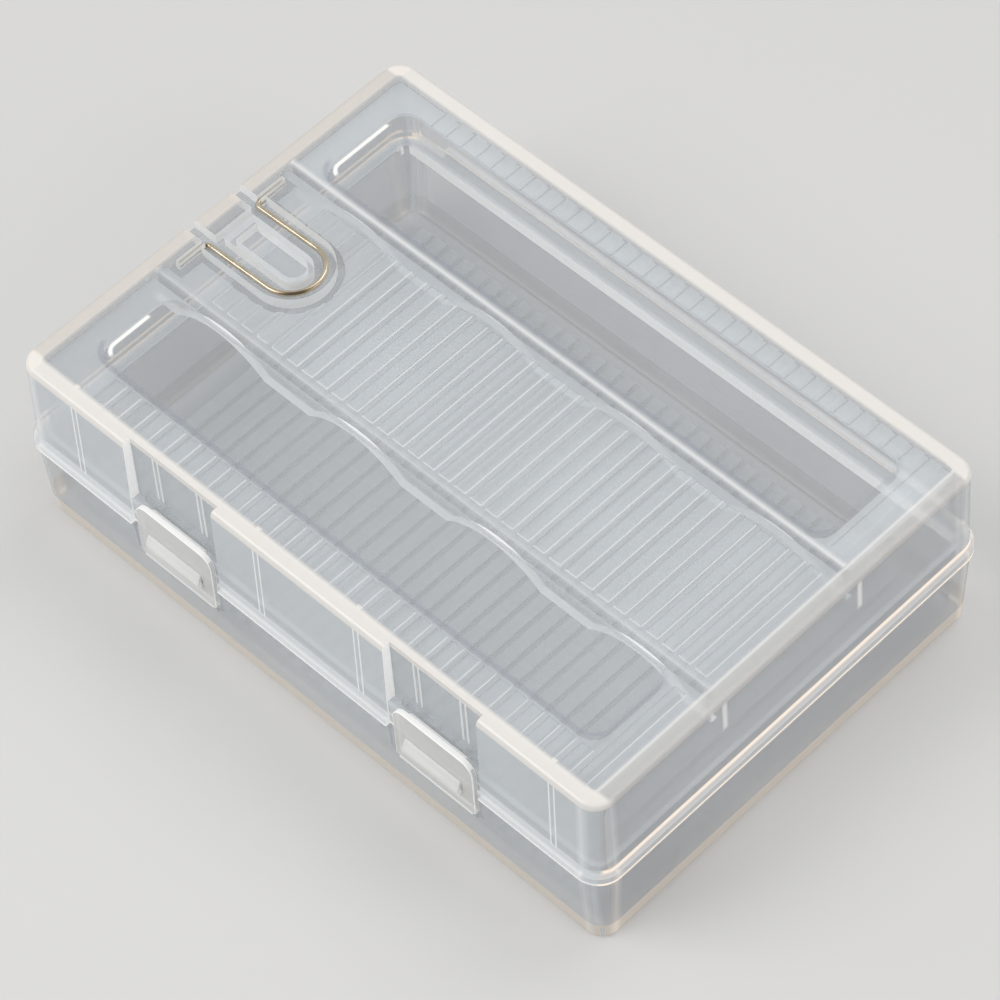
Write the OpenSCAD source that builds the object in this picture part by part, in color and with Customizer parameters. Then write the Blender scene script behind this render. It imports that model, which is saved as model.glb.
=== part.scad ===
// Clear clamshell case for four round cells, with two flap latches on the
// long front side, a strap hinge along the back and a wire hanging bail that
// folds into the lid. Millimetres. The origin is the middle of the base's
// underside: X runs along the cells' row, Y from the latches to the hinge.

/* [Cells] */
// Number of cells that lie side by side
cell_count = 4; // [2:1:6]
// Width of one cell bay, a cell and its running room
cell_pitch = 27; // [24:0.5:30]
// Radius of the scallops that hold the cells down
cell_r = 13.5; // [11:0.1:13.5]
// Length of a cell
cell_len = 70; // [55:1:80]
// Room left at the ends of a cell, both ends together
end_play = 2; // [1:0.5:6]

/* [Walls] */
// Thickness of the side walls
wall = 2; // [1.8:0.1:2.4]
// Thickness of the base's floor
floor_t = 1.6; // [1.2:0.1:2.4]
// Thickness of the lid's panel
panel_t = 1.6; // [1.4:0.1:2.4]
// Height of the base, table to seam
base_h = 15; // [14:0.5:22]
// Height of the lid, seam to top
lid_h = 18; // [17:0.5:24]
// Outer radius of the upright corners
corner_r = 3.2; // [3.2:0.2:6]
// Outer radius along the top and bottom edges
edge_r = 0.8; // [0.4:0.1:1.2]
// Radius inside, where the panel or the floor meets the walls
cove_r = 0.7; // [0.3:0.1:1]
// How far the base's rim stands out past the lid's top edge
base_out = 0.5; // [0:0.1:0.7]
// Draft of the base's outside, inwards from seam to floor
base_draft = 0.8; // [0.4:0.1:1.2]
// Draft of the base's inside
tray_draft = 0.25; // [0.1:0.05:0.5]
// Draft of the lid, outwards from panel to seam
lid_draft = 0.3; // [0.1:0.1:0.6]

/* [Seam] */
// How far the lid's skirt flares out past the wall
skirt_flare = 0.6; // [0.1:0.05:0.8]
// Height of the skirt, up to where the flare starts
skirt_h = 1.6; // [1.2:0.1:2.4]
// Thickness of the tongue that stands on the base's rim
tongue_t = 0.9; // [0.6:0.1:1.1]
// Height of that tongue
tongue_h = 1.8; // [1:0.1:2.4]
// Gap between the rims, and over the tongue
seam_gap = 0.1; // [0.05:0.05:0.3]
// Side clearance between tongue and skirt
tongue_clear = 0.15; // [0.1:0.05:0.3]

/* [Pads] */
// Pitch of the low cross pads on the panel and the floor
pad_pitch = 3; // [2:0.25:6]
// Width of a pad
pad_w = 2.1; // [1:0.1:2.6]
// Height of a pad
pad_h = 0.3; // [0.1:0.05:0.5]
// Bare strip at the bail's end of the lid
pad_bare = 7; // [5:0.5:12]
// Gap between a pad's end and the rib or wall beside it
pad_gap = 1.4; // [0.6:0.1:2]

/* [Lid ribs] */
// Distance of each scalloped rib from the middle
rib_y = 13.4; // [12.5:0.1:16]
// Thickness of a scalloped rib
rib_t = 1.2; // [0.8:0.1:1.6]
// Depth of the ribs between two cells, from the lid's top
rib_depth = 6.7; // [5:0.1:8]
// Height of the cells' axis over the table
cell_z = 16.2; // [15.5:0.1:17]
// Width of the upright ribs inside the front wall
post_w = 1.1; // [0.8:0.1:1.6]
// How far those ribs stand in from the wall
post_d = 0.6; // [0.3:0.1:0.8]
// Distance of the end ribs from the middle
post_outer = 46.1; // [42:0.1:50]
// Distance of the middle ribs from the middle
post_inner = 9.7; // [5:0.1:12]

/* [Windows] */
// Depth of the thin clear windows, cut in the panel's underside
window_d = 0.7; // [0.3:0.1:0.8]
// Corner radius of a window
window_r = 3; // [1:0.5:5]
// Frame left between a window and the end wall at the bail
window_left = 4.9; // [4:0.1:10]
// Frame left between a window and the other end wall
window_right = 6.1; // [4:0.1:10]
// Frame left between the front window and the front wall
window_front = 6.3; // [3:0.1:8]
// Frame left between the back window and the back wall
window_back = 3.9; // [3:0.1:8]

/* [Latches] */
// Distance of each latch pocket from the middle
latch_x = 25.4; // [20:0.1:30]
// How far both latches sit to the right of their pockets' middles
latch_shift = 0.55; // [0:0.05:0.8]
// Width of a latch
latch_w = 15.2; // [12:0.1:16]
// Thickness of a latch's plate
latch_t = 0.85; // [0.75:0.05:1.4]
// Distance of a latch's lower edge below the seam
latch_drop = 4.4; // [3:0.1:5]
// How far a latch's plate stands over its lip
latch_over = 0.2; // [0:0.1:1.2]
// Radius of a latch's two upper corners
latch_r = 2.2; // [1:0.1:3]
// Gap between a latch's plate and the wall behind it
latch_gap = 0.15; // [0.1:0.05:0.3]
// Width of the pocket in the lid round a latch
pocket_w = 17.6; // [17:0.1:22]
// Depth of that pocket
pocket_d = 1.4; // [1:0.1:1.6]
// Thickness of the pocket's floor
pocket_t = 1; // [0.8:0.1:1.4]
// Height of the catch ledge over the seam
ledge_h = 5.2; // [4:0.1:6.5]
// How far the latch's lip reaches in over the ledge
lip_d = 0.75; // [0.4:0.05:0.9]
// Length of the lip and of the grip bar
grip_w = 10.6; // [6:0.1:12]
// How far the grip bar stands out
grip_d = 0.9; // [0.5:0.1:1.4]
// Height of the grip bar
grip_h = 2.9; // [2:0.1:4]
// Height of the grip bar's lower edge over the latch's
grip_z = 3.1; // [2:0.1:4]
// Thickness of the thin web that a latch turns on
web_t = 0.35; // [0.25:0.05:0.5]
// Thickness of the shelf on the base that carries the web
shelf_t = 0.8; // [0.6:0.1:1.2]

/* [Hinge] */
// Length of the strap hinge along the back
hinge_len = 98; // [60:1:100]
// How far its two leaves stand out from the back wall
leaf_out = 1.9; // [1.4:0.1:3]
// Thickness of a leaf
leaf_t = 1.3; // [0.8:0.1:2]

/* [Bail] */
// Diameter of the bail's wire
wire_d = 0.9; // [0.8:0.1:1.1]
// Distance of each leg's centre line from the middle
bail_y = 4.85; // [4.65:0.05:6]
// Distance from the pivot to the centre of the round end
bail_leg = 12.5; // [11:0.1:16]
// Distance from the end wall's outside to the pivot
bail_in = 4; // [3.6:0.1:4.4]
// Length of a pivot pin past the leg's centre line
pin_len = 5.5; // [4:0.1:5.6]
// Radius of the bend between a leg and its pin
bend_r = 0.7; // [0.6:0.1:1]
// How far the round end stands up when the bail is folded, in degrees
bail_tilt = 2.3; // [0:0.1:2.4]
// Running clearance round a pin
pin_clear = 0.06; // [0.03:0.01:0.1]
// Depth of the recess that the bail folds into
recess_d = 2; // [1.8:0.1:2.2]
// Room between the wire's centre line and the recess's side
recess_gap = 1.5; // [1.2:0.1:2.4]
// Thickness of the pan under the recess
pan_t = 1.1; // [0.8:0.1:1.1]
// Half width of the finger frame inside the bail
frame_r = 2.9; // [2.2:0.1:3.2]
// Thickness of the finger frame
frame_t = 0.9; // [0.6:0.1:1.2]
// Distance from the pivot to the finger frame's straight end
frame_in = 1.6; // [1.4:0.1:3]
// Thickness of the finger frame's straight end
frame_end = 1.5; // [0.8:0.1:2]

/* [Hidden] */
$fn = 36;

// Small fixed gaps and steps.
past = 1;                                   // how far a cut runs past a face
web_h = 0.4;                                // height of the latches' webs
web_in = 0.6;                               // web's end, in from a latch's side
shelf_in = 0.2;                             // shelf's end, in from a latch's side
shelf_back = 0.2;                           // shelf's edge, behind a latch's face
latch_foot_r = 0.5;                         // radius of a latch's lower corners
lip_clear = 0.15;                           // lip over ledge
lip_t = 0.5;                                // height of the lip's nose
boss_d = 0.5;                               // height of the boss behind a latch
boss_r = 2;                                 // radius of its upper corners
boss_over = 0.9;                            // boss top over the latch's
wire_room = 0.55;                           // room beside the wire in a notch
notch_in = 0.3;                             // notch's middle, in from the leg's
wire_lift = 0.35;                           // gap under the wire
pin_room = 0.15;                            // room past a pin's end
notch_step = 0.1;                           // notch floor over the recess's
frame_over = 0.3;                           // frame's round end past the bail's
frame_low = 0.2;                            // frame's top under the panel's
pad_edge = 0.3;                             // pads' distance from a window

// Sizes that follow from those above.
case_l = cell_count * cell_pitch + 2 * wall;
case_w = cell_len + end_play + 2 * wall;
case_h = base_h + lid_h;
inner_l = case_l - 2 * wall;
inner_w = case_w - 2 * wall;
front_y = -case_w / 2;
back_y = case_w / 2;
under_panel = case_h - panel_t;             // the panel's underside
lid_rim = base_h + seam_gap;                // the lid's lowest face
tongue_u = corner_r - wall + tongue_t;      // tongue's outer face in a section
wrap_r = wire_d / 2 + pin_clear;            // pin sockets' bore
pin_x = -case_l / 2 + bail_in;              // bail's pivot
recess_z = case_h - recess_d;
wire_z = recess_z + wire_lift + wire_d / 2;
notch_w = wire_d + 2 * wire_room;           // notches that the legs swing in
snap_slot = 0.77 * wire_d;                  // mouth of a pin socket
latch_y = front_y - latch_gap;              // inner face of the latches
latch_face = latch_y - latch_t;             // outer face; the web is under its foot
ledge_z = base_h + ledge_h;
latch_z = base_h - latch_drop;              // a latch's lower edge
latch_h = ledge_z + lip_clear + lip_t + lip_d + latch_over - latch_z;
notch_y = bail_y - notch_in;                // middle of a notch
clear_pearl = "#c9d3dc";
clear_frost = "#e4e8ea";
steel = "#b9a78a";

// Middle of a latch along the case.
function latch_mid(side) = side * latch_x + latch_shift;

// Plan of a rounded rectangle, l by w, centred.
module plan(l, w, r) {
    square([l - 2 * r, w], center = true);
    square([l, w - 2 * r], center = true);
    for (x = [-1, 1], y = [-1, 1])
        translate([x * (l / 2 - r), y * (w / 2 - r)]) circle(r);
}

// Sweeps a wall section once round the case. In the section, x counts
// outwards from a corner's centre, so corner_r is the wall's outside.
module round_the_case() {
    run_x = case_l - 2 * corner_r;
    run_y = case_w - 2 * corner_r;
    for (a = [0, 180]) {
        rotate(a) translate([-run_x / 2, run_y / 2, 0])
            rotate([90, 0, 90]) linear_extrude(run_x) children();
        rotate(a) translate([run_x / 2, run_y / 2, 0])
            rotate([90, 0, 0]) linear_extrude(run_y) children();
    }
    for (i = [0:3])
        translate([(i == 0 || i == 3 ? 1 : -1) * run_x / 2, (i < 2 ? 1 : -1) * run_y / 2, 0])
            rotate(90 * i) rotate_extrude(angle = 90) children();
}

// The flat middle of a floor or panel, inside the swept section.
module middle(z, t) {
    translate([0, 0, z + t / 2])
        cube([case_l - 2 * corner_r, case_w - 2 * corner_r, t], center = true);
}

// Low cross pads, each ending on a multiple of the pitch, from x0 to x1.
module pads(x0, x1, y0, y1) {
    for (i = [ceil((x0 + pad_w) / pad_pitch) : floor(x1 / pad_pitch)])
        translate([i * pad_pitch - pad_w, y0]) square([pad_w, y1 - y0]);
}

// ---- Base ---------------------------------------------------------------

module base_section() {
    rim_u = corner_r + base_out;
    foot = rim_u - base_draft;
    in_u = corner_r - wall;
    difference() {
        union() {
            polygon([[0, 0], [foot - edge_r, 0], [foot - edge_r, edge_r], [foot, edge_r],
                [rim_u, base_h], [tongue_u, base_h], [tongue_u, base_h + tongue_h],
                [in_u, base_h + tongue_h], [in_u - tray_draft, base_h / 2], [0, base_h / 2]]);
            translate([foot - edge_r, edge_r]) circle(edge_r);
        }
        polygon([[-past, floor_t], [in_u - tray_draft - cove_r, floor_t],
            [in_u - tray_draft - cove_r, floor_t + cove_r],
            [in_u - tray_draft, floor_t + cove_r], [in_u, base_h],
            [in_u, base_h + tongue_h + past], [-past, base_h + tongue_h + past]]);
        translate([in_u - tray_draft - cove_r, floor_t + cove_r]) circle(cove_r);
    }
}

// Flat that is cut into the base's flared rim behind a latch.
module latch_flat(side) {
    low_z = latch_z - web_h - shelf_t;
    translate([side * latch_x - pocket_w / 2, front_y - base_out - past, low_z])
        cube([pocket_w, base_out + past, base_h + past - low_z]);
}

// Shelf on the base's front that a latch's web grows from.
module latch_shelf(side) {
    shelf_y = latch_face + shelf_back;
    translate([latch_mid(side) - latch_w / 2 + shelf_in, shelf_y, latch_z - web_h - shelf_t])
        cube([latch_w - 2 * shelf_in, front_y + wall / 2 - shelf_y, shelf_t]);
}

module base_shell() color(clear_pearl) {
    difference() {
        round_the_case() base_section();
        for (side = [-1, 1]) latch_flat(side);
    }
    middle(0, floor_t);
    translate([0, 0, floor_t]) linear_extrude(pad_h)
        pads(-inner_l / 2 + pad_gap + tray_draft, inner_l / 2 - pad_gap - tray_draft,
            -inner_w / 2 + pad_gap + tray_draft, inner_w / 2 - pad_gap - tray_draft);
    translate([-hinge_len / 2, back_y - wall / 2, base_h - leaf_t])
        cube([hinge_len, wall / 2 + leaf_out, leaf_t]);
    for (side = [-1, 1]) latch_shelf(side);
}

// ---- Lid ----------------------------------------------------------------

module lid_section() {
    top_u = corner_r - edge_r;
    in_u = corner_r - wall;
    rebate_u = tongue_u + tongue_clear;
    rebate_z = base_h + tongue_h + seam_gap;
    skirt_u = corner_r + lid_draft + skirt_flare;
    difference() {
        union() {
            polygon([[0, case_h], [top_u, case_h], [top_u, case_h - edge_r],
                [corner_r, case_h - edge_r], [corner_r + lid_draft, base_h + skirt_h + skirt_flare],
                [skirt_u, base_h + skirt_h], [skirt_u, lid_rim], [0, lid_rim]]);
            translate([top_u, case_h - edge_r]) circle(edge_r);
        }
        polygon([[-past, lid_rim - past], [rebate_u, lid_rim - past], [rebate_u, rebate_z],
            [in_u + lid_draft, rebate_z], [in_u, under_panel - cove_r],
            [in_u - cove_r, under_panel - cove_r], [in_u - cove_r, under_panel],
            [-past, under_panel]]);
        translate([in_u - cove_r, under_panel - cove_r]) circle(cove_r);
    }
}

// A rib across the lid with one scallop for each cell.
module scalloped_rib(y) {
    translate([0, y + rib_t / 2, 0]) rotate([90, 0, 0]) linear_extrude(rib_t)
        difference() {
            translate([-inner_l / 2 - wall / 2, case_h - rib_depth])
                square([inner_l + wall, rib_depth - panel_t / 2]);
            for (i = [0 : cell_count - 1])
                translate([(i - (cell_count - 1) / 2) * cell_pitch, cell_z]) circle(cell_r);
        }
}

// Upright rib inside the front wall.
module post(x, face_y) {
    bottom = base_h + tongue_h + seam_gap;
    translate([x - post_w / 2, face_y - wall / 2, bottom])
        cube([post_w, wall / 2 + post_d, under_panel - bottom + panel_t / 2]);
}

// Wall behind a latch pocket, set in from the front wall, with its two ribs.
module pocket_back(side) {
    inside = front_y + pocket_d + pocket_t;
    translate([side * latch_x - pocket_w / 2 - pocket_t, front_y + wall / 2, ledge_z - pocket_t])
        cube([pocket_w + 2 * pocket_t, inside - front_y - wall / 2, under_panel - ledge_z + 2 * pocket_t]);
    for (s = [-1, 1]) post(side * latch_x + s * pocket_w / 4, inside);
}

// Space of a latch pocket: deep over the ledge, shallow beside it.
module pocket_cut(side) {
    reach = lid_draft + skirt_flare + past;
    translate([side * latch_x - pocket_w / 2, front_y - reach, lid_rim - past]) {
        cube([pocket_w, reach, lid_h + 2 * past]);
        translate([0, 0, ledge_h + past - seam_gap]) cube([pocket_w, reach + pocket_d, lid_h]);
    }
}

// Low boss that stands in the pocket behind a latch's top.
module pocket_boss(side) {
    boss_top = latch_z + latch_h + boss_over;
    translate([latch_mid(side), front_y + pocket_d + pocket_t / 2, ledge_z - past])
        rotate([90, 0, 0]) linear_extrude(pocket_t / 2 + boss_d) {
            translate([-latch_w / 2, 0]) square([latch_w, boss_top - boss_r - ledge_z + past]);
            translate([-latch_w / 2 + boss_r, 0])
                square([latch_w - 2 * boss_r, boss_top - ledge_z + past]);
            for (s = [-1, 1])
                translate([s * (latch_w / 2 - boss_r), boss_top - boss_r - ledge_z + past]) circle(boss_r);
        }
}

// Plan of a stadium end: straight from x0, round about x1.
module stadium(x0, x1, r) {
    translate([x0, -r]) square([x1 - x0, 2 * r]);
    translate([x1, 0]) circle(r);
}

// Plan of the bail's recess, grown by g on every side.
module recess_plan(g) {
    stadium(pin_x + wire_d / 2 - g, pin_x + bail_leg, bail_y + recess_gap + g);
    for (s = [-1, 1])
        translate([-case_l / 2 + wall - g, s * notch_y - notch_w / 2 - g])
            square([bail_in + past, notch_w + 2 * g]);
}

// Pan that carries the recess and the pin sockets under the panel.
module bail_pan() {
    pan_x = [-case_l / 2 + wall / 2, pin_x + wrap_r + pan_t];
    translate([0, 0, recess_z - pan_t])
        linear_extrude(under_panel - recess_z + pan_t + panel_t / 2) {
            recess_plan(pan_t);
            translate([pan_x[0], -bail_y - pin_len - pan_t])
                square([pan_x[1] - pan_x[0], 2 * (bail_y + pin_len + pan_t)]);
        }
}

// Raised frame round the finger pit inside the bail.
module finger_frame() {
    x0 = pin_x + frame_in;
    x1 = pin_x + bail_leg + frame_over;
    translate([0, 0, recess_z - pan_t / 2]) linear_extrude(recess_d + pan_t / 2 - frame_low)
        difference() {
            stadium(x0, x1, frame_r);
            translate([frame_end, 0]) stadium(x0, x1 - frame_end, frame_r - frame_t);
        }
}

// The bail's recess, its two notches through the rim and the pin sockets.
module bail_cut() {
    bore_l = pin_len + pin_room;
    difference() {
        translate([0, 0, recess_z]) linear_extrude(recess_d + past) recess_plan(0);
        finger_frame();
    }
    for (s = [-1, 1]) {
        translate([-case_l / 2 - past, s * notch_y - notch_w / 2, recess_z + notch_step])
            cube([wall + 2 * past, notch_w, recess_d + past]);
        translate([pin_x, s * (bail_y + bore_l / 2), wire_z]) {
            rotate([90, 0, 0]) cylinder(h = bore_l, r = wrap_r, center = true);
            translate([0, 0, recess_d / 2]) cube([snap_slot, bore_l, recess_d], center = true);
        }
    }
}

module windows_plan() {
    x0 = -inner_l / 2 + window_left;
    x1 = inner_l / 2 - window_right;
    inner_edge = rib_y + rib_t;
    ys = [[-inner_w / 2 + window_front, -inner_edge], [inner_edge, inner_w / 2 - window_back]];
    for (y = ys)
        translate([(x0 + x1) / 2, (y[0] + y[1]) / 2]) plan(x1 - x0, y[1] - y[0], window_r);
}

// Pads of the lid: between the ribs, along both long walls and at one end.
module lid_pads_plan() {
    x0 = -inner_l / 2 + pad_bare;
    window_x1 = inner_l / 2 - window_right;
    x1 = inner_l / 2 - cove_r;
    rib_in = rib_y - rib_t / 2 - pad_gap;
    rib_out = rib_y + rib_t / 2 + pad_gap;
    y1 = inner_w / 2;
    pads(x0, x1, -rib_in, rib_in);
    pads(x0, window_x1 + pad_edge, -y1 + pocket_t, -y1 + window_front - pad_edge);
    pads(x0, window_x1 + pad_edge, y1 - window_back + pad_edge, y1);
    for (s = [-1, 1])
        pads(window_x1 + pad_edge, x1, s < 0 ? -y1 : rib_out, s < 0 ? -rib_out : y1);
}

module lid_shell() color(clear_pearl) {
    difference() {
        union() {
            round_the_case() lid_section();
            middle(under_panel, panel_t);
            for (s = [-1, 1]) {
                scalloped_rib(s * rib_y);
                pocket_back(s);
                post(s * post_outer, front_y + wall);
                post(s * post_inner, front_y + wall);
            }
            bail_pan();
            translate([0, 0, under_panel - pad_h]) linear_extrude(pad_h + panel_t / 2)
                lid_pads_plan();
            translate([-hinge_len / 2, back_y - wall / 4, lid_rim])
                cube([hinge_len, wall / 4 + leaf_out, leaf_t]);
        }
        for (s = [-1, 1]) pocket_cut(s);
        bail_cut();
        translate([0, 0, under_panel - past]) linear_extrude(past + window_d) windows_plan();
    }
    for (s = [-1, 1]) pocket_boss(s);
}

// ---- Hinge web ----------------------------------------------------------

module hinge_web() color(clear_frost)
    translate([-hinge_len / 2, back_y + leaf_out, base_h + seam_gap / 2 - leaf_t])
        cube([hinge_len, web_t, 2 * leaf_t]);

// ---- Latches ------------------------------------------------------------

// Outline of a latch's plate, from its foot up.
module latch_outline() {
    foot_r = latch_foot_r;
    translate([-latch_w / 2, foot_r]) square([latch_w, latch_h - foot_r - latch_r]);
    translate([-latch_w / 2 + latch_r, foot_r])
        square([latch_w - 2 * latch_r, latch_h - foot_r]);
    translate([-latch_w / 2 + foot_r, 0]) square([latch_w - 2 * foot_r, latch_r]);
    for (s = [-1, 1]) {
        translate([s * (latch_w / 2 - latch_r), latch_h - latch_r]) circle(latch_r);
        translate([s * (latch_w / 2 - foot_r), foot_r]) circle(foot_r);
    }
}

// Side profile of the lip: a nose over the ledge and a ramp that rides up it.
module lip_profile() {
    top = lip_t + lip_d;
    polygon([[-latch_t / 2, 0], [lip_d, 0], [lip_d, lip_t], [0, top], [-latch_t / 2, top]]);
}

// Side profile of the grip bar: a toe, a groove, then an edge that slopes back.
module grip_profile() {
    toe_z = grip_h / 6;
    edge_z = grip_h / 3;
    groove_z = (toe_z + 2 * edge_z) / 3;
    polygon([[latch_t / 2, 0], [-grip_d / 2, 0], [-grip_d / 2, toe_z],
        [-grip_d / 9, groove_z], [-grip_d, edge_z], [-grip_d, grip_h / 2],
        [-grip_d / 3, grip_h], [latch_t / 2, grip_h]]);
}

// Plate with a lip that catches over the ledge and a bar to pull on.
module latch(side) color(clear_frost)
    translate([latch_mid(side), latch_y, 0]) {
        translate([0, 0, latch_z]) rotate([90, 0, 0]) linear_extrude(latch_t) latch_outline();
        translate([-grip_w / 2, 0, 0]) rotate([90, 0, 90]) linear_extrude(grip_w) {
            translate([0, ledge_z + lip_clear]) lip_profile();
            translate([-latch_t, latch_z + grip_z]) grip_profile();
        }
    }

// Thin strip that joins a latch to its shelf and bends as it turns.
module latch_web(side) color(clear_frost)
    translate([latch_mid(side) - latch_w / 2 + web_in, latch_face, latch_z - web_h])
        cube([latch_w - 2 * web_in, web_t, web_h]);

// ---- Bail ---------------------------------------------------------------

// Round wire: two pins, two bends, two legs and a half-round end.
module bail_wire() color(steel)
    translate([pin_x, 0, wire_z]) rotate([0, -bail_tilt, 0]) {
        for (s = [-1, 1]) {
            translate([bend_r, s * bail_y, 0]) rotate([0, 90, 0])
                cylinder(h = bail_leg - bend_r, d = wire_d);
            translate([0, s * (bail_y + bend_r), 0]) rotate([-90 * s, 0, 0])
                cylinder(h = pin_len - bend_r, d = wire_d);
            translate([bend_r, s * (bail_y + bend_r), 0])
                rotate(s > 0 ? 180 : 90) rotate_extrude(angle = 90)
                    translate([bend_r, 0]) circle(d = wire_d);
        }
        translate([bail_leg, 0, 0]) rotate(-90) rotate_extrude(angle = 180)
            translate([bail_y, 0]) circle(d = wire_d);
    }

base_shell();
lid_shell();
hinge_web();
latch(-1);  // latch_left
latch(1);  // latch_right
latch_web(-1);  // latch_web_left
latch_web(1);  // latch_web_right
bail_wire();
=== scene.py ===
"""Looks for the clear clamshell storage case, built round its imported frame. Metres, Z up."""

import math

import bmesh
import bpy
from mathutils import Matrix, Vector


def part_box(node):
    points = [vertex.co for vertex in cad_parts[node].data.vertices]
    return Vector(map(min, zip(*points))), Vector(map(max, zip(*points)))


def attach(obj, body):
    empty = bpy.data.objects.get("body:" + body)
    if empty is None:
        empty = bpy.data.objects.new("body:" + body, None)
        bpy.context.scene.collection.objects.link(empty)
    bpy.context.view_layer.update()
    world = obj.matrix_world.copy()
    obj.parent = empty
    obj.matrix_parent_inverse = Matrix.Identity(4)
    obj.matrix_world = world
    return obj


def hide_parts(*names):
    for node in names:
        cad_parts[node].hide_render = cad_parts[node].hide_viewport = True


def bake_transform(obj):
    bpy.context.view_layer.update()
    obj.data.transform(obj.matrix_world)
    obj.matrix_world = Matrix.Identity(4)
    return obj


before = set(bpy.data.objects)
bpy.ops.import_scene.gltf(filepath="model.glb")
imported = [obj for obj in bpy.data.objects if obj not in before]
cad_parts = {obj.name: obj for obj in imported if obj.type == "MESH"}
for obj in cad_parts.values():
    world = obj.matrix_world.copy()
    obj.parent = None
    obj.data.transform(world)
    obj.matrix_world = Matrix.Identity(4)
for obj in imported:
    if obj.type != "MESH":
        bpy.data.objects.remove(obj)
bpy.context.view_layer.update()
MM = 0.001

# Sizes that the looks share with the case's source, in millimetres.
CASE_L, CASE_W, CASE_H = 112.0, 76.0, 33.0
FRONT, END = CASE_W / 2, CASE_L / 2
SEAM, SKIRT_TOP = 15.0, 17.2
WALL, CORNER_R = 2.0, 3.2
PANEL_UNDER, SURROUND_Z, RECESS_Z = 31.4, 32.8, 31.0
FLOOR_T, PAD_H = 1.6, 0.3
RIB_Y, RIB_T, RIB_FOOT = 13.4, 1.2, 26.3
POCKET_X, POCKET_W, POCKET_D = 25.4, 17.6, 1.4
POCKET_FLOOR = FRONT - POCKET_D
LEDGE_Z = 20.2
LATCH_FACE = 39.1
POST_X, POST_W = (9.7, 46.1), 1.1
WINDOW_X, WINDOW_R = (-49.1, 47.9), 3.0
FRONT_WINDOW_Y, BACK_WINDOW_Y = (-29.7, -14.6), (14.6, 32.1)

# Places of drawn lines. OUT lies beyond every face of the case.
RIM_BAND, RIM_FOOT = 2.7, 31.9
FOOT_BAND = 3.3
FRONT_STROKE_Y, BACK_STROKE_Y = (-29.2, -19.9), (15.4, 27.6)
POST_SHIFT, POCKET_POST_SHIFT = 1.8, 0.5
OUT = 60.0


# ---- Node helpers ---------------------------------------------------------


def node(tree, kind, **values):
    """A shader node with settings and plain socket values."""
    made = tree.nodes.new(kind)
    for key, value in values.items():
        if hasattr(made, key):
            setattr(made, key, value)
        else:
            made.inputs[key.replace("_", " ")].default_value = value
    return made


def math_node(tree, operation, a, b=None, c=None, clamp=False):
    """The result of a Math node on links or plain numbers."""
    made = tree.nodes.new("ShaderNodeMath")
    made.operation, made.use_clamp = operation, clamp
    for i, v in enumerate((a, b, c)):
        if v is None:
            continue
        if isinstance(v, (int, float)):
            made.inputs[i].default_value = v
        else:
            tree.links.new(v, made.inputs[i])
    return made.outputs[0]


def ramp(tree, value, low, high, to_low=0.0, to_high=1.0):
    """Value mapped from low..high to to_low..to_high with soft ends, clamped."""
    made = tree.nodes.new("ShaderNodeMapRange")
    made.interpolation_type = "SMOOTHSTEP"
    tree.links.new(value, made.inputs["Value"])
    for name, v in zip(("From Min", "From Max", "To Min", "To Max"), (low, high, to_low, to_high)):
        made.inputs[name].default_value = v
    return made.outputs["Result"]


def mix_colour(tree, factor, a, b):
    """Colour a where the factor is 0 and b where it is 1."""
    made = tree.nodes.new("ShaderNodeMix")
    made.data_type = "RGBA"
    tree.links.new(factor, made.inputs[0])
    for i, v in ((6, a), (7, b)):
        if isinstance(v, (tuple, list)):
            made.inputs[i].default_value = (*v, 1)
        else:
            tree.links.new(v, made.inputs[i])
    return made.outputs[2]


def mix_value(tree, factor, a, b):
    """Value a where the factor is 0 and b where it is 1."""
    made = tree.nodes.new("ShaderNodeMix")
    made.data_type = "FLOAT"
    for i, v in ((0, factor), (2, a), (3, b)):
        if isinstance(v, (int, float)):
            made.inputs[i].default_value = v
        else:
            tree.links.new(v, made.inputs[i])
    return made.outputs[0]


def new_group(name, inputs, outputs):
    """An empty shader group with float or vector sockets, and its two end nodes."""
    group = bpy.data.node_groups.new(name, "ShaderNodeTree")
    for direction, sockets in (("INPUT", inputs), ("OUTPUT", outputs)):
        for socket_name, kind, default in sockets:
            made = group.interface.new_socket(socket_name, in_out=direction, socket_type=kind)
            if default is not None:
                made.default_value = default
    return group, group.nodes.new("NodeGroupInput"), group.nodes.new("NodeGroupOutput")


FLOAT, VECTOR = "NodeSocketFloat", "NodeSocketVector"


def moulded_skin_group():
    """Slow clouding of the melt and a few rubbed marks, from Object coordinates."""
    group, gin, gout = new_group(
        "moulded_skin",
        [("Vector", VECTOR, None), ("Cloud Scale", FLOAT, 45.0), ("Mark Scale", FLOAT, 160.0)],
        [("Cloud", FLOAT, None), ("Marks", FLOAT, None)],
    )
    cloud = node(group, "ShaderNodeTexNoise", Detail=1.5, Roughness=0.55)
    group.links.new(gin.outputs["Vector"], cloud.inputs["Vector"])
    group.links.new(gin.outputs["Cloud Scale"], cloud.inputs["Scale"])
    turn = node(group, "ShaderNodeMapping")
    turn.inputs["Rotation"].default_value = (0.0, 0.0, 0.6)
    turn.inputs["Scale"].default_value = (0.12, 1.6, 1.0)
    group.links.new(gin.outputs["Vector"], turn.inputs["Vector"])
    marks = node(group, "ShaderNodeTexNoise", Detail=1.0, Roughness=0.7)
    group.links.new(turn.outputs["Vector"], marks.inputs["Vector"])
    group.links.new(gin.outputs["Mark Scale"], marks.inputs["Scale"])
    group.links.new(ramp(group, cloud.outputs["Fac"], 0.3, 0.7), gout.inputs["Cloud"])
    group.links.new(ramp(group, marks.outputs["Fac"], 0.6, 0.75), gout.inputs["Marks"])
    return group


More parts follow.
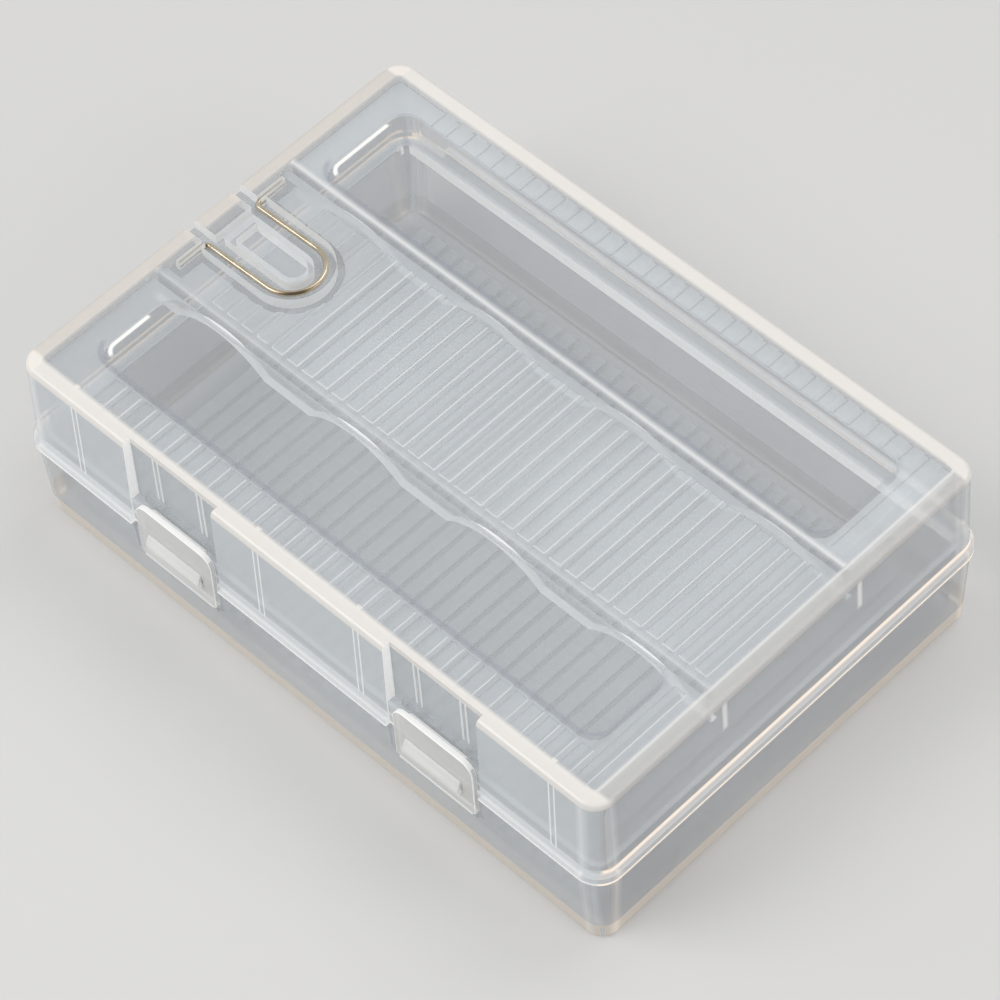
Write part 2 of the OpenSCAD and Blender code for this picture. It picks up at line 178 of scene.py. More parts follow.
def strip_group():
    """1 where a value, in metres, lies between Low and High, both in millimetres, with soft ends."""
    group, gin, gout = new_group(
        "strip",
        [("Value", FLOAT, 0.0), ("Low", FLOAT, 0.0), ("High", FLOAT, 1.0), ("Soft", FLOAT, 0.2)],
        [("Mask", FLOAT, None)],
    )
    value = math_node(group, "MULTIPLY", gin.outputs["Value"], 1000.0)
    ends = []
    for a, b in ((value, gin.outputs["Low"]), (gin.outputs["High"], value)):
        step = math_node(group, "DIVIDE", math_node(group, "SUBTRACT", a, b), gin.outputs["Soft"])
        ends.append(math_node(group, "ADD", step, 0.5, clamp=True))
    group.links.new(math_node(group, "MULTIPLY", *ends), gout.inputs["Mask"])
    return group


def from_wall_group():
    """Distance inwards from the upright edge of a rounded rectangle, in metres."""
    group, gin, gout = new_group(
        "from_wall",
        [("Vector", VECTOR, None), ("Half X", FLOAT, END * MM), ("Half Y", FLOAT, FRONT * MM),
         ("Corner", FLOAT, CORNER_R * MM)],
        [("Inward", FLOAT, None)],
    )
    parts = node(group, "ShaderNodeSeparateXYZ")
    group.links.new(gin.outputs["Vector"], parts.inputs[0])
    out = []
    for axis, half in ((0, "Half X"), (1, "Half Y")):
        reach = math_node(group, "ABSOLUTE", parts.outputs[axis])
        inner = math_node(group, "SUBTRACT", gin.outputs[half], gin.outputs["Corner"])
        out.append(math_node(group, "SUBTRACT", reach, inner))
    over = [math_node(group, "MAXIMUM", v, 0.0) for v in out]
    length = math_node(
        group, "SQRT", math_node(group, "ADD", *[math_node(group, "MULTIPLY", v, v) for v in over])
    )
    inside = math_node(group, "MINIMUM", math_node(group, "MAXIMUM", *out), 0.0)
    distance = math_node(group, "ADD", length, inside)
    inward = math_node(group, "SUBTRACT", gin.outputs["Corner"], distance)
    group.links.new(inward, gout.inputs["Inward"])
    return group


skin_group = moulded_skin_group()
wall_group = from_wall_group()
strip_mask = strip_group()


def use_group(tree, group, **values):
    """A shader group placed in a material, with plain or linked values on its sockets."""
    made = tree.nodes.new("ShaderNodeGroup")
    made.node_tree = group
    for key, v in values.items():
        socket = made.inputs[key.replace("_", " ")]
        if isinstance(v, (int, float)):
            socket.default_value = v
        else:
            tree.links.new(v, socket)
    return made


# ---- Materials ------------------------------------------------------------


def strip(tree, value, low, high, soft=0.2):
    """Mask of the stretch from low to high, in millimetres, of a value in metres."""
    return use_group(tree, strip_mask, Value=value, Low=low, High=high, Soft=soft).outputs["Mask"]


def both(tree, *masks):
    """Where all the masks overlap."""
    made = masks[0]
    for mask in masks[1:]:
        made = math_node(tree, "MULTIPLY", made, mask)
    return made


def either(tree, *masks):
    """Where at least one of the masks lies."""
    made = masks[0]
    for mask in masks[1:]:
        made = math_node(tree, "MAXIMUM", made, mask)
    return made


def scaled(tree, mask, factor, lift=0.0):
    """The mask times a factor, plus a lift."""
    return math_node(tree, "MULTIPLY_ADD", mask, factor, lift)


def away_from(tree, value, middle):
    """How far a value in metres lies from a middle in millimetres."""
    return math_node(tree, "ABSOLUTE", math_node(tree, "SUBTRACT", value, middle * MM))


def corner_lines(tree, across, up, inward, outer):
    """Soft upright painted highlights where the flat walls run into the round corners."""
    lines = []
    for value, half in ((across, END), (up, FRONT)):
        lines.append(strip(tree, value, half - CORNER_R - 0.2, half - CORNER_R + 0.9, 1.1))
    return both(tree, either(tree, *lines), strip(tree, inward, -3.0, outer))


def window_edges(tree, place, span_y, stroke_y):
    """Painted shadow along a window's front and right edges, and a white stroke by its left end, a painted
    highlight.
    """
    middle = [sum(span) / 2 * MM for span in (WINDOW_X, span_y)]
    half = [(span[1] - span[0]) / 2 for span in (WINDOW_X, span_y)]
    offset = node(tree, "ShaderNodeVectorMath", operation="SUBTRACT")
    tree.links.new(place, offset.inputs[0])
    offset.inputs[1].default_value = (*middle, 0.0)
    inward = use_group(
        tree, wall_group, Vector=offset.outputs[0], Half_X=half[0] * MM, Half_Y=half[1] * MM,
        Corner=WINDOW_R * MM,
    ).outputs["Inward"]
    parts = node(tree, "ShaderNodeSeparateXYZ")
    tree.links.new(offset.outputs[0], parts.inputs[0])
    x, y = parts.outputs[:2]
    ring = strip(tree, inward, -0.6, 0.3, 0.6)
    front = strip(tree, y, -half[1] - 1, -half[1] + 2.5, 1.5)
    right = strip(tree, x, half[0] - 1.6, half[0] + 1, 1.5)
    dark = both(tree, ring, either(tree, front, scaled(tree, right, 0.6)))
    low, high = (v - sum(span_y) / 2 for v in stroke_y)
    stroke = both(
        tree, strip(tree, inward, 0.9, 1.6, 0.3), strip(tree, x, -OUT, -half[0] + 2.6, 0.8),
        strip(tree, y, low, high, 0.5),
    )
    return dark, stroke


def post_lines(tree, x, y, height):
    """Pairs of thin white lines on the front wall and the pocket floors, painted highlights where the
    posts behind them show.
    They stand a little to the right of the posts, as seen from the front right."""
    from_middle = away_from(tree, x, POST_SHIFT)
    on_wall = math_node(tree, "MINIMUM", *[away_from(tree, from_middle, at) for at in POST_X])
    from_pocket = away_from(tree, away_from(tree, x, POCKET_POST_SHIFT), POCKET_X)
    in_pocket = away_from(tree, from_pocket, POCKET_W / 4)
    side = POST_W / 2 - 0.08
    wall_face, pocket_face = (-OUT, -POCKET_FLOOR - 0.4), (-POCKET_FLOOR - 0.4, -POCKET_FLOOR + 0.3)
    lines = either(
        tree,
        both(tree, strip(tree, on_wall, side - 0.13, side + 0.13, 0.15), strip(tree, y, *wall_face)),
        both(tree, strip(tree, in_pocket, side - 0.18, side + 0.18, 0.15), strip(tree, y, *pocket_face)),
    )
    return both(tree, lines, strip(tree, height, SKIRT_TOP + 0.2, SURROUND_Z - 0.6, 0.6))


def rim_lines(tree, x, y, across, up, height, inward):
    """The cream band round the lid's top, partly the wall seen end-on and partly painted light, with a
    bump at each post and fainter at the right end, and its white, a painted highlight: the long sides, and
    a thin line at the right end."""
    top = strip(tree, height, RIM_FOOT, CASE_H + 1)
    posts = either(tree, *[strip(tree, across, p - POST_W / 2, p + POST_W / 2, 0.5) for p in POST_X])
    bumps = both(tree, posts, strip(tree, y, -OUT, -35.0), strip(tree, inward, -2.0, RIM_BAND + 0.6, 0.4))
    rim = both(tree, top, either(tree, strip(tree, inward, -2.0, RIM_BAND, 0.9), bumps))
    long_sides = strip(tree, up, FRONT - RIM_BAND - 0.2, OUT, 0.6)
    left_end = strip(tree, x, -OUT, -END + RIM_BAND + 0.2, 0.6)
    strength = math_node(
        tree, "ADD", scaled(tree, long_sides, 0.35, 0.5), scaled(tree, left_end, 0.3), clamp=True
    )
    right_line = both(
        tree, top, strip(tree, inward, RIM_BAND - 0.5, RIM_BAND, 0.35), strip(tree, x, END - 4, OUT)
    )
    white = either(tree, scaled(tree, both(tree, rim, long_sides), 0.4), scaled(tree, right_line, 0.5))
    return both(tree, rim, strength), white


def seam_lines(tree, y, ends, height, inward):
    """Painted white highlights along the bottom and the top of the lid's skirt, and where they turn
    golden, a painted
    reflection: at both ends and behind."""
    bottom = strip(tree, height, SEAM - 0.1, SEAM + 0.55, 0.25)
    top = both(
        tree, strip(tree, height, SKIRT_TOP - 0.1, SKIRT_TOP + 0.65, 0.3), scaled(tree, ends, 0.5, 0.4)
    )
    seam = both(tree, strip(tree, inward, -3.0, 0.25), either(tree, bottom, top))
    back = strip(tree, y, FRONT - 0.5, FRONT + 0.7, 0.4)
    golden = both(tree, either(tree, ends, back), strip(tree, height, SEAM - 1.0, SKIRT_TOP + 1.0))
    return seam, golden


def rib_lines(tree, y, up, ends, height, inward):
    """Painted white highlights where the ribs meet the panel, stronger on the back rib, and the end walls.
    """
    root = both(
        tree, strip(tree, up, RIB_Y - 0.5, RIB_Y + 0.5, 0.8), strip(tree, height, SURROUND_Z, CASE_H + 1),
        strip(tree, inward, RIM_BAND, OUT), scaled(tree, strip(tree, y, 0.0, OUT), 0.3, 0.35),
    )
    rib_ends = both(
        tree, ends, strip(tree, up, RIB_Y - 0.5, RIB_Y + 0.4, 0.4),
        strip(tree, height, RIB_FOOT, RIM_FOOT, 0.8),
    )
    return either(tree, root, scaled(tree, rib_ends, 0.8))


def lid_lines(tree, place, parts, inward):
    """What the lid shows of its edges, much of it painted light and shade: coloured layers as mask, colour
    and alpha, the mask of all its white lines, which are painted highlights, and the mask of the stretch
    where these are golden, a painted reflection."""
    across, up = (math_node(tree, "ABSOLUTE", parts.outputs[i]) for i in (0, 1))
    x, y, height = parts.outputs
    ends = strip(tree, across, END - 0.5, OUT, 0.4)
    rim, rim_white = rim_lines(tree, x, y, across, up, height, inward)
    seam, golden = seam_lines(tree, y, ends, height, inward)
    dark, strokes = [], []
    for span_y, stroke_y in ((FRONT_WINDOW_Y, FRONT_STROKE_Y), (BACK_WINDOW_Y, BACK_STROKE_Y)):
        edge, stroke = window_edges(tree, place, span_y, stroke_y)
        dark.append(edge)
        strokes.append(stroke)
    panel_top = strip(tree, height, SURROUND_Z, CASE_H + 1)
    white = either(
        tree, seam, rim_white, rib_lines(tree, y, up, ends, height, inward),
        scaled(tree, corner_lines(tree, across, up, inward, 0.3), 0.4),
        scaled(tree, post_lines(tree, x, y, height), 0.8),
        both(tree, panel_top, either(tree, *strokes)),
    )
    layers = [
        # painted shadow by the windows' front and right edges, painted shade on the darker end walls, and
        # the rim's cream band, partly painted light
        (scaled(tree, both(tree, panel_top, either(tree, *dark)), 0.8), WINDOW_SHADOW, 0.62),
        (scaled(tree, ends, 0.7), LID_END_SHADE, 0.55),
        (rim, CREAM, 0.88),
    ]
    return layers, white, golden


def base_lines(tree, place, parts, inward):
    """The same for the base: a tan band along its foot, a painted reflection, fainter at the left end and
    behind, and the white lines of its rim and corners, painted highlights; its end walls get painted
    shade."""
    across, up = (math_node(tree, "ABSOLUTE", parts.outputs[i]) for i in (0, 1))
    x, y, height = parts.outputs
    near_sides = either(tree, strip(tree, x, END - 4, OUT), strip(tree, y, -OUT, 4 - FRONT))
    foot = both(tree, strip(tree, height, -1.0, FOOT_BAND, 0.4), scaled(tree, near_sides, 0.45, 0.5))
    rim = both(tree, strip(tree, height, SEAM - 0.2, SEAM + 0.2), strip(tree, inward, -2.0, 0.2))
    ends = strip(tree, across, END - 1.0, OUT, 0.4)
    corners = corner_lines(tree, across, up, inward, 0.9)
    # painted shade on the darker end walls, and the foot's tan band, a painted reflection
    layers = [(scaled(tree, ends, 0.7), BASE_END_SHADE, 0.5), (foot, TAN_REFLECTION, 0.92)]
    return layers, either(tree, scaled(tree, rim, 0.3), scaled(tree, corners, 0.3)), ends


# Colours of the plastic: thin and milky stretches, painted highlights and reflections on its edges, and
# painted light and shade: a cream rim of piped light, a tan foot, window shadows, shaded ends.
THIN, MILKY = (0.25, 0.27, 0.295), (0.66, 0.705, 0.745)
WHITE_EDGE, GOLDEN_EDGE = (0.83, 0.83, 0.82), (0.88, 0.75, 0.63)
CREAM, TAN_REFLECTION = (0.72, 0.665, 0.60), (0.76, 0.69, 0.61)
WINDOW_SHADOW = (0.24, 0.27, 0.32)
LID_END_SHADE, BASE_END_SHADE = (0.45, 0.46, 0.48), (0.38, 0.39, 0.41)
BLACK = (0.0, 0.0, 0.0)

# Share of its alpha with which the plastic holds back the lamps' light, alpha and painted glow of a white
# edge.
LAMPS_SHARE = 0.45
EDGE_ALPHA, EDGE_GLOW = 0.92, 0.6


def clear_plastic(name, thin, milky, alpha, roughness, lines=None, grain=0.0):
    """See-through moulded plastic; alpha is its value at half haze. The piece's own attributes say how
    milky it is (haze, from thin at 0 to milky at 1, raised or lowered in places as painted light and
    shade) and where it gets a painted glow (edge), white and lit from inside as where it looks end-on into
    the wall: the more the higher its haze, which may go up to 3 there."""
    material = bpy.data.materials.new(name)
    material.use_nodes = True
    material.cycles.emission_sampling = "NONE"
    tree = material.node_tree
    tree.nodes.clear()
    out = node(tree, "ShaderNodeOutputMaterial")
    shader = node(tree, "ShaderNodeBsdfPrincipled")
    tree.links.new(shader.outputs[0], out.inputs["Surface"])
    place = node(tree, "ShaderNodeTexCoord").outputs["Object"]
    skin = use_group(tree, skin_group, Vector=place)
    haze = node(tree, "ShaderNodeAttribute", attribute_name="haze").outputs["Fac"]
    white = node(tree, "ShaderNodeAttribute", attribute_name="edge").outputs["Fac"]
    clouded = math_node(tree, "SUBTRACT", haze, 0.05)
    milkiness = math_node(tree, "MULTIPLY_ADD", skin.outputs["Cloud"], 0.1, clouded)
    tone = mix_colour(tree, milkiness, thin, milky)
    solid = scaled(tree, milkiness, 2.0 * alpha)
    lit = scaled(tree, haze, 0.33)
    bright = WHITE_EDGE
    if lines:
        parts = node(tree, "ShaderNodeSeparateXYZ")
        tree.links.new(place, parts.inputs[0])
        inward = use_group(tree, wall_group, Vector=place).outputs["Inward"]
        layers, more_white, golden = lines(tree, place, parts, inward)
        for mask, colour, share in layers:
            tone = mix_colour(tree, mask, tone, colour)
            solid = mix_value(tree, mask, solid, share)
        white = either(tree, white, more_white)
        bright = mix_colour(tree, golden, WHITE_EDGE, GOLDEN_EDGE)
        lit = math_node(tree, "MULTIPLY_ADD", golden, 0.6, lit)
    # the white masks paint highlights into the colour and a painted glow into the emission, though the
    # plastic is no lamp
    tree.links.new(mix_colour(tree, white, tone, bright), shader.inputs["Base Color"])
    lit = math_node(tree, "MULTIPLY", white, lit, clamp=True)
    tree.links.new(mix_colour(tree, lit, BLACK, bright), shader.inputs["Emission Color"])
    shader.inputs["Emission Strength"].default_value = EDGE_GLOW
    solid = mix_value(tree, white, solid, EDGE_ALPHA)
    shadow_ray = node(tree, "ShaderNodeLightPath").outputs["Is Shadow Ray"]
    solid = mix_value(tree, shadow_ray, solid, scaled(tree, solid, LAMPS_SHARE))
    tree.links.new(solid, shader.inputs["Alpha"])
    tree.links.new(scaled(tree, skin.outputs["Marks"], 0.14, roughness), shader.inputs["Roughness"])
    if grain:
        frost = node(tree, "ShaderNodeTexNoise", Scale=2600.0, Detail=2.0)
        tree.links.new(place, frost.inputs["Vector"])
        bump = node(tree, "ShaderNodeBump", Strength=0.35, Distance=grain)
        tree.links.new(frost.outputs["Fac"], bump.inputs["Height"])
        tree.links.new(bump.outputs["Normal"], shader.inputs["Normal"])
    shader.inputs["IOR"].default_value = 1.49
    return material


lid_plastic = clear_plastic("lid_plastic", THIN, MILKY, 0.24, 0.32, lid_lines)
base_plastic = clear_plastic("base_plastic", THIN, MILKY, 0.24, 0.32, base_lines)
inner_plastic = clear_plastic("inner_plastic", THIN, MILKY, 0.24, 0.26)
latch_plastic = clear_plastic(
    "latch_plastic", (0.62, 0.63, 0.63), (0.90, 0.90, 0.89), 0.45, 0.42, grain=0.000004
)


def drawn_wire():
    """Drawn wire with a warm tint; its dark middle where it is seen straight on, against golden sides, is
    a painted reflection.
    """
    material = bpy.data.materials.new("drawn_wire")
    material.use_nodes = True
    tree = material.node_tree
    shader = tree.nodes["Principled BSDF"]
    place = node(tree, "ShaderNodeTexCoord").outputs["Object"]
    noise = node(tree, "ShaderNodeTexNoise", Scale=500.0, Detail=2.0)
    tree.links.new(place, noise.inputs["Vector"])
    side_on = node(tree, "ShaderNodeLayerWeight", Blend=0.4).outputs["Facing"]
    side_on = ramp(tree, side_on, 0.02, 0.2)
    gold = mix_colour(tree, noise.outputs["Fac"], (0.53, 0.45, 0.33), (0.75, 0.68, 0.56))
    tone = mix_colour(tree, side_on, (0.15, 0.11, 0.07), gold)
    tree.links.new(tone, shader.inputs["Base Color"])
    tree.links.new(ramp(tree, noise.outputs["Fac"], 0.3, 0.7, 0.14, 0.26), shader.inputs["Roughness"])
    shader.inputs["Metallic"].default_value = 1.0
    return material


wire_steel = drawn_wire()


# ---- Pieces ---------------------------------------------------------------


def solid_copy(node_name):
    """The node's solid as one clean mesh: merged corners, flat faces whole."""
    mesh = bmesh.new()
    mesh.from_mesh(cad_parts[node_name].data)
    bmesh.ops.remove_doubles(mesh, verts=mesh.verts, dist=1e-6)
    bmesh.ops.dissolve_limit(
        mesh, angle_limit=0.003, verts=mesh.verts, edges=mesh.edges, delimit=set()
    )
    return mesh


def shade(mesh, sharp_deg=28):
    """Smooth shading, with sharp edges kept."""
    limit = math.radians(sharp_deg)
    for face in mesh.faces:
        face.smooth = True
    for edge in mesh.edges:
        edge.smooth = len(edge.link_faces) == 2 and edge.calc_face_angle(0) < limit


def round_edges(mesh, radius, sharp_deg=40):
    """Small round on the sharp outer edges of a small moulding."""
    limit = math.radians(sharp_deg)
    sharp = [e for e in mesh.edges if len(e.link_faces) == 2 and e.calc_face_angle_signed(0) > limit]
    bmesh.ops.bevel(
        mesh, geom=sharp, offset=radius * MM, offset_type="OFFSET", affect="EDGES",
        segments=2, profile=0.5, clamp_overlap=True, material=-1,
    )


def near(value, *targets, slack=0.06):
    """Within the slack of one of the targets, in millimetres."""
    return any(abs(value - t) < slack for t in targets)


def upright(n):
    return abs(n.z) < 0.35


def faces_up(n):
    return n.z > 0.9


def faces_down(n):
    return n.z < -0.9


def outer_face(c, n):
    """True for the faces that carry the drawn lines: the panel's top and the outside of the walls."""
    on_top = n.z > 0.1 and c.z > CASE_H - 0.9
    in_pocket = n.y < -0.9 and near(c.y, -POCKET_FLOOR)
    return on_top or in_pocket or abs(c.x) > END - 1.1 or abs(c.y) > FRONT - 1.1


def mark(mesh, regions, plain=(0.58, 0.0)):
    """Gives each face corner its haze and edge values: the last region that takes the face wins."""
    haze = mesh.loops.layers.float.new("haze")
    edge = mesh.loops.layers.float.new("edge")
    for face in mesh.faces:
        c, n = face.calc_center_median() / MM, face.normal
        values = plain
        for test, region_values in regions:
            if test(c, n):
                values = region_values
        face.material_index = 0 if outer_face(c, n) else 1
        for loop in face.loops:
            loop[haze], loop[edge] = values


def add_piece(mesh, name, materials, body, replaced):
    """Makes an object of the mesh in the scene, attached to its body when it is given one; a pair of
    bodies leaves it unattached.
    """
    data = bpy.data.meshes.new(name)
    mesh.to_mesh(data)
    mesh.free()
    piece = bpy.data.objects.new(name, data)
    bpy.context.scene.collection.objects.link(piece)
    for material in materials:
        data.materials.append(material)
    if isinstance(body, str):
        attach(piece, body)
    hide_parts(*replaced)
    return piece


def lit_side(n):
    """The sides of a pad that get a painted highlight, as if they caught the light: to the right and to
    the front.
    """
    return n.x > 0.9 or n.y < -0.9


def wall_corner(c, n):
    """The round upright corners of the case, inside and outside."""
    round_side = upright(n) and abs(n.x) < 0.9 and abs(n.y) < 0.9
    return round_side and abs(c.x) > END - 4 and abs(c.y) > FRONT - 4


def panel_pad_side(c):
    return PANEL_UNDER - PAD_H < c.z < PANEL_UNDER and abs(c.x) < END - 2.1


def floor_pad_side(c):
    return FLOOR_T < c.z < FLOOR_T + PAD_H


def rib_side(c):
    return near(abs(c.y), RIB_Y - RIB_T / 2, RIB_Y + RIB_T / 2)


def rib_scallop(c, n, rib_y):
    """The scalloped lower edge of the rib at rib_y."""
    return abs(c.y - rib_y) < RIB_T / 2 + 0.05 and n.z < -0.05 and c.z < 31


# Each region is a test on a face's middle, in millimetres, and its normal, and the haze and edge it gets;
# a raised haze or an edge value is often painted light: white painted highlights and glow.

lid_regions = [
    # walls: milkier and lighter in front, clearer and darker at the ends and behind, painted light and
    # shade
    (lambda c, n: n.y < -0.9 and c.y < -FRONT + 0.8, (1.28, 0.0)),
    (lambda c, n: n.y > 0.9 and near(c.y, WALL - FRONT, slack=0.5), (0.9, 0.0)),
    (lambda c, n: n.x > 0.9 and c.x > END - 0.5, (0.7, 0.0)),
    (lambda c, n: n.y < -0.9 and near(c.y, FRONT - WALL, slack=0.6), (0.4, 0.0)),
    (wall_corner, (1.15, 0.0)),
    # panel: its top, then its underside and the pads there, more milky towards the back
    (lambda c, n: faces_up(n) and near(c.z, CASE_H), (0.38, 0.0)),
    (lambda c, n: faces_down(n) and near(c.z, PANEL_UNDER), (0.86, 0.0)),
    (lambda c, n: faces_down(n) and near(c.z, PANEL_UNDER) and c.y > RIB_Y, (1.15, 0.0)),
    (lambda c, n: faces_down(n) and near(c.z, PANEL_UNDER - PAD_H), (0.9, 0.0)),
    (lambda c, n: faces_down(n) and near(c.z, PANEL_UNDER - PAD_H) and c.y < -RIB_Y, (0.84, 0.0)),
    (lambda c, n: faces_down(n) and near(c.z, PANEL_UNDER - PAD_H) and c.y > RIB_Y, (1.25, 0.0)),
    # undersides of the thin windows
    (lambda c, n: faces_down(n) and PANEL_UNDER + 0.1 < c.z < CASE_H - 0.1, (0.15, 0.0)),
    # sides of the pads: those that would catch the light get a white painted highlight
    (lambda c, n: upright(n) and panel_pad_side(c), (1.1, 0.1)),
    (lambda c, n: lit_side(n) and panel_pad_side(c), (3.0, 1.0)),
    (lambda c, n: lit_side(n) and panel_pad_side(c) and RIB_Y < c.y < FRONT - 1, (1.6, 0.7)),
    # sides of the windows, with a painted highlight on the end face at their left
    (lambda c, n: upright(n) and PANEL_UNDER < c.z < 32.2 and abs(c.y) < 36 and abs(c.x) < 53,
     (0.3, 0.0)),
    (lambda c, n: n.x > 0.9 and PANEL_UNDER < c.z < 32.2 and near(c.x, -49.2, slack=0.8), (1.2, 0.7)),
    # ribs: their sides, the front-facing one lighter as painted light, and scalloped edges with a white
    # painted glow, stronger on the front rib
    (lambda c, n: n.y > 0.9 and rib_side(c), (0.6, 0.0)),
    (lambda c, n: n.y < -0.9 and rib_side(c), (1.1, 0.25)),
    (lambda c, n: rib_scallop(c, n, -RIB_Y), (1.9, 0.85)),
    (lambda c, n: rib_scallop(c, n, RIB_Y), (1.2, 0.5)),
    # bottom and flare of the skirt, with a faint painted glow
    (lambda c, n: c.z < SKIRT_TOP + 0.1 and abs(n.z) > 0.3, (0.9, 0.2)),
    # latch pockets: floors, side walls with a white painted glow, posts behind them and ledges, faintly
    # glowing as painted light
    (lambda c, n: n.y < -0.9 and near(c.y, -POCKET_FLOOR) and c.z > LEDGE_Z, (0.8, 0.0)),
    (lambda c, n: n.x > 0.9 and c.y < -POCKET_FLOOR and near(abs(abs(c.x) - POCKET_X), POCKET_W / 2),
     (1.8, 0.95)),
    (lambda c, n: abs(n.x) > 0.9 and -36.3 < c.y < -33 and 17 < c.z < PANEL_UNDER, (0.8, 0.3)),
    (lambda c, n: faces_up(n) and near(c.z, LEDGE_Z), (0.6, 0.1)),
    # bail recess: floor, walls with a white painted glow, and its surround with the finger frame's top
    (lambda c, n: faces_up(n) and near(c.z, RECESS_Z), (0.75, 0.0)),
    (lambda c, n: upright(n) and RECESS_Z < c.z < CASE_H and c.x < -32 and abs(c.y) < 11, (1.0, 0.75)),
    (lambda c, n: faces_up(n) and near(c.z, SURROUND_Z), (0.7, 0.05)),
    # hinge leaf, with a white painted glow
    (lambda c, n: c.y > FRONT + 0.2, (0.9, 0.9)),
]

base_regions = [
    # underside, floor and the pads on it, their lit sides with a painted highlight
    (lambda c, n: faces_down(n) and c.z < 0.1, (0.2, 0.0)),
    (lambda c, n: faces_up(n) and near(c.z, FLOOR_T), (0.64, 0.0)),
    (lambda c, n: faces_up(n) and near(c.z, FLOOR_T + PAD_H), (0.9, 0.0)),
    (lambda c, n: upright(n) and floor_pad_side(c), (0.2, 0.0)),
    (lambda c, n: lit_side(n) and floor_pad_side(c), (1.0, 0.4)),
    # rim, whiter behind with a painted glow
    (lambda c, n: c.z > SEAM - 0.1 and n.z > 0.5, (0.9, 0.2)),
    (lambda c, n: c.z > SEAM - 0.1 and c.y > FRONT - 4, (1.8, 0.9)),
    # front wall and round corners
    (lambda c, n: n.y < -0.9 and c.y < -37, (0.8, 0.0)),
    (wall_corner, (0.95, 0.0)),
    # hinge leaf, with a white painted glow
    (lambda c, n: c.y > FRONT + 0.2 and c.z > 12, (0.9, 0.6)),
]

latch_regions = [
    # the grip bar, and the top edge that catches the light, both with a painted highlight
    (lambda c, n: c.y < -LATCH_FACE, (0.7, 0.3)),
    (lambda c, n: n.z > 0.5 and c.z > 21, (0.9, 0.5)),
    # the rounded edges of the flap, with a painted glint
    (lambda c, n: 0.25 < abs(n.y) < 0.97 and c.y > -LATCH_FACE, (1.2, 0.7)),
]


def dressed(node_name, regions, rounded=0.0):
    """The node's solid with its haze and edge values, and its small edges rounded if it is asked."""
    mesh = solid_copy(node_name)
    if rounded:
        round_edges(mesh, rounded)
    mark(mesh, regions)
    shade(mesh)
    return mesh


add_piece(
    dressed("lid_shell", lid_regions), "lid", (lid_plastic, inner_plastic), "lid", ["lid_shell"],
)
add_piece(
    dressed("base_shell", base_regions), "base", (base_plastic, inner_plastic), "base", ["base_shell"],
)
for side in ("left", "right"):
    add_piece(
        dressed(f"latch_{side}", latch_regions, rounded=0.15),
        f"latch_{side}_flap", (latch_plastic, latch_plastic), f"latch_{side}", [f"latch_{side}"],
    )


def bending_strip(name, node_name, steps, far_body):
    """A thin web as a strip with rows to bend at, from the base to the piece that swings on it."""
    low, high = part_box(node_name)
    mesh = bmesh.new()
    rows = []
    for i in range(steps + 1):
        z = low[2] + (high[2] - low[2]) * i / steps
        ring = [(low[0], low[1], z), (high[0], low[1], z), (high[0], high[1], z), (low[0], high[1], z)]
        rows.append([mesh.verts.new(p) for p in ring])
    for a, b in zip(rows[:-1], rows[1:]):
        for i in range(4):
            mesh.faces.new((a[i], a[(i + 1) % 4], b[(i + 1) % 4], b[i]))
    mesh.faces.new(rows[0][::-1])
    mesh.faces.new(rows[-1])
    bmesh.ops.recalc_face_normals(mesh, faces=mesh.faces)
    # the whole strap gets a faint white painted glow
    mark(mesh, [], plain=(0.8, 0.4))
    shade(mesh)
    piece = add_piece(mesh, name, (latch_plastic, latch_plastic), ("base", far_body), [node_name])
    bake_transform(piece)


bending_strip("hinge_strap", "hinge_web", 12, "lid")
for side in ("left", "right"):
    bending_strip(f"latch_{side}_strap", f"latch_web_{side}", 4, f"latch_{side}")

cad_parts["bail_wire"].data.materials[0] = wire_steel


# ---- Stage, light and camera ----------------------------------------------


def plain_floor():
    """A wide pale floor just under the case."""
    mesh = bmesh.new()
    bmesh.ops.create_grid(mesh, x_segments=1, y_segments=1, size=3.0)
    data = bpy.data.meshes.new("floor")
    mesh.to_mesh(data)
    mesh.free()
    floor = bpy.data.objects.new("floor", data)
    bpy.context.scene.collection.objects.link(floor)
    floor.location.z = -0.00002
    material = bpy.data.materials.new("pale_floor")
    material.use_nodes = True
    shader = material.node_tree.nodes["Principled BSDF"]
    shader.inputs["Base Color"].default_value = (0.60, 0.60, 0.60, 1)
    shader.inputs["Roughness"].default_value = 0.9
    shader.inputs["Specular IOR Level"].default_value = 0.2
    # beyond the lamps' reach the floor stays as pale for the camera, without lighting the case
    tree = material.node_tree
    length = node(tree, "ShaderNodeVectorMath", operation="LENGTH")
    tree.links.new(node(tree, "ShaderNodeTexCoord").outputs["Object"], length.inputs[0])
    far = ramp(tree, length.outputs["Value"], 0.25, 1.3, 0.0, 0.4)
    camera_ray = node(tree, "ShaderNodeLightPath").outputs["Is Camera Ray"]
    fade = mix_colour(tree, both(tree, far, camera_ray), BLACK, (1.0, 1.0, 1.0))
    tree.links.new(fade, shader.inputs["Emission Color"])
    shader.inputs["Emission Strength"].default_value = 1.0
    material.cycles.emission_sampling = "NONE"
    data.materials.append(material)


def lamp(name, towards, distance, size, power, colour):
    """A square area light that shines on the case from a direction."""
    data = bpy.data.lights.new(name, "AREA")
    data.size, data.energy, data.color = size, power, colour
    made = bpy.data.objects.new(name, data)
    direction = Vector(towards).normalized()
    made.location = direction * distance
    made.rotation_euler = direction.to_track_quat("Z", "Y").to_euler()
    bpy.context.scene.collection.objects.link(made)


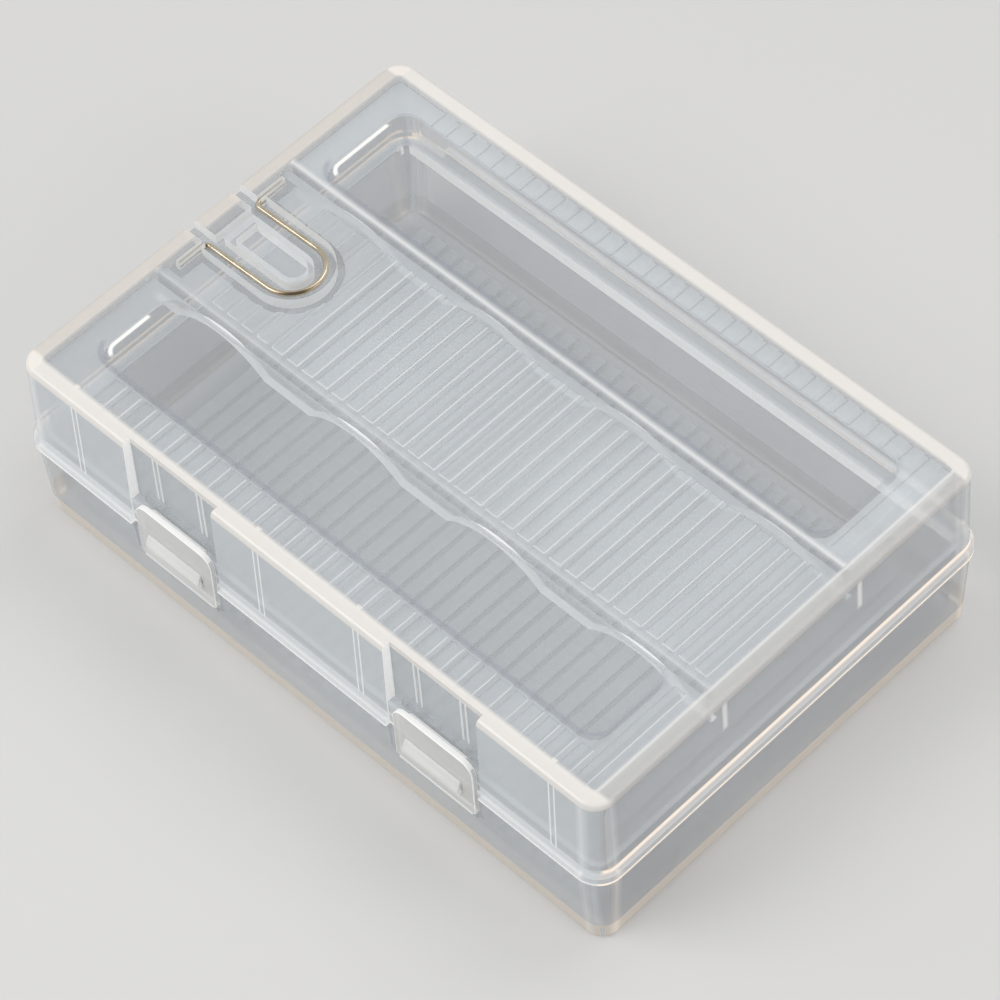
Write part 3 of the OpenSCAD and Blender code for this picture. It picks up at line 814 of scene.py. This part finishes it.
def studio():
    """Three soft lamps and a pale world that the camera and reflections see a little brighter."""
    world = bpy.data.worlds.new("studio")
    world.use_nodes = True
    tree = world.node_tree
    background = tree.nodes["Background"]
    background.inputs["Color"].default_value = (1, 1, 1, 1)
    rays = node(tree, "ShaderNodeLightPath")
    seen = either(tree, *[rays.outputs[f"Is {kind} Ray"] for kind in ("Camera", "Glossy", "Transmission")])
    tree.links.new(mix_value(tree, seen, 0.40, 0.64), background.inputs["Strength"])
    bpy.context.scene.world = world
    lamp("key", (-0.5, -0.8, 1.2), 0.9, 0.5, 4.6, (1.0, 0.99, 0.97))
    lamp("top", (0.1, 0.5, 1.0), 1.0, 0.6, 3.2, (1.0, 1.0, 1.0))
    lamp("side", (1.0, 0.2, 0.6), 0.9, 0.6, 2.0, (1.0, 0.96, 0.92))


def photo_camera():
    """Where the photograph was taken from, fitted to the case's edges."""
    azimuth, elevation, roll = math.radians(48.02), math.radians(53.41), math.radians(-4.67)
    target, distance, focal = Vector((-6.97, 6.55, 0.0)) * MM, 0.7114, 4.92572
    back = Vector((
        math.sin(azimuth) * math.cos(elevation),
        -math.cos(azimuth) * math.cos(elevation),
        math.sin(elevation),
    ))
    across = Vector((0, 0, 1)).cross(back).normalized()
    up = back.cross(across)
    right = across * math.cos(roll) + up * math.sin(roll)
    top = up * math.cos(roll) - across * math.sin(roll)
    data = bpy.data.cameras.new("photo_camera")
    data.sensor_width = 36.0
    data.lens = focal * data.sensor_width
    data.clip_start, data.clip_end = 0.01, 10.0
    camera = bpy.data.objects.new("photo_camera", data)
    eye = target + back * distance
    camera.matrix_world = Matrix((
        (right.x, top.x, back.x, eye.x),
        (right.y, top.y, back.y, eye.y),
        (right.z, top.z, back.z, eye.z),
        (0, 0, 0, 1),
    ))
    bpy.context.scene.collection.objects.link(camera)
    bpy.context.scene.camera = camera


plain_floor()
studio()
photo_camera()
scene = bpy.context.scene
scene.view_settings.view_transform = "Standard"
scene.cycles.transparent_max_bounces = 32
scene.cycles.max_bounces = 6
scene.cycles.diffuse_bounces = 2
scene.cycles.glossy_bounces = 2

bpy.context.view_layer.update()
